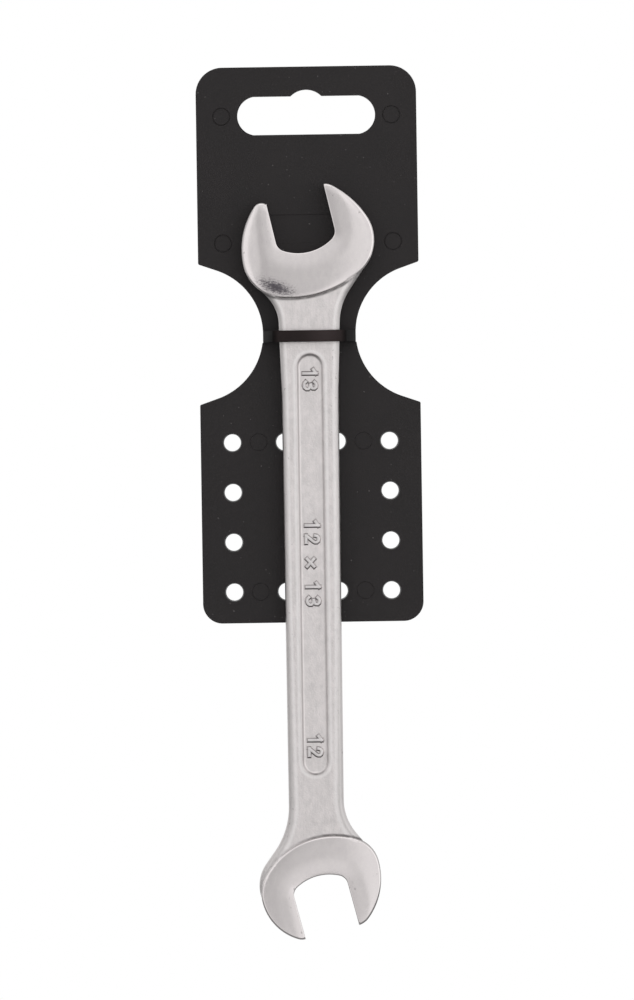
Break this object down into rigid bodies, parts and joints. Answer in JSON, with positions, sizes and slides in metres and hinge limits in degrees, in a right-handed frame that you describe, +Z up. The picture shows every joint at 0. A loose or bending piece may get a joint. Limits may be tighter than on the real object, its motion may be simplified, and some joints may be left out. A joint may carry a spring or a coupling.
{
  "type": "carded open end wrench",
  "caption": "Double open end wrench with offset jaws and a recessed shank, held by a cable tie on a moulded hang card with a euro slot and round holes.",
  "frame": {"origin": "apex of the notch in the hang slot's upper edge, halfway through the card", "axes": "+Z up the card as it hangs, -Y towards the viewer, +X to the viewer's right"},
  "size_m": [0.048, 0.0131, 0.1897],
  "materials": {
    "black_moulded_plastic": "fine matt mould texture",
    "black_nylon": "satin",
    "satin_chrome": "blasted satin shank, polished heads"
  },
  "bodies": {
    "card": {"hang_card": "black_moulded_plastic"},
    "tie": {"cable_tie": "black_nylon"},
    "wrench": {"wrench": "satin_chrome"}
  },
  "joints": [
    {"name": "tie_tilt", "type": "hinge", "parent": "card", "child": "tie", "pos_m": [0, 0, -0.0538], "axis": [0, 1, 0], "range_deg": [-1.5, 1.5]},
    {"name": "wrench_slide", "type": "slide", "parent": "tie", "child": "wrench", "axis": [0, 0, 1], "range_m": [0, 0.098]}
  ]
}
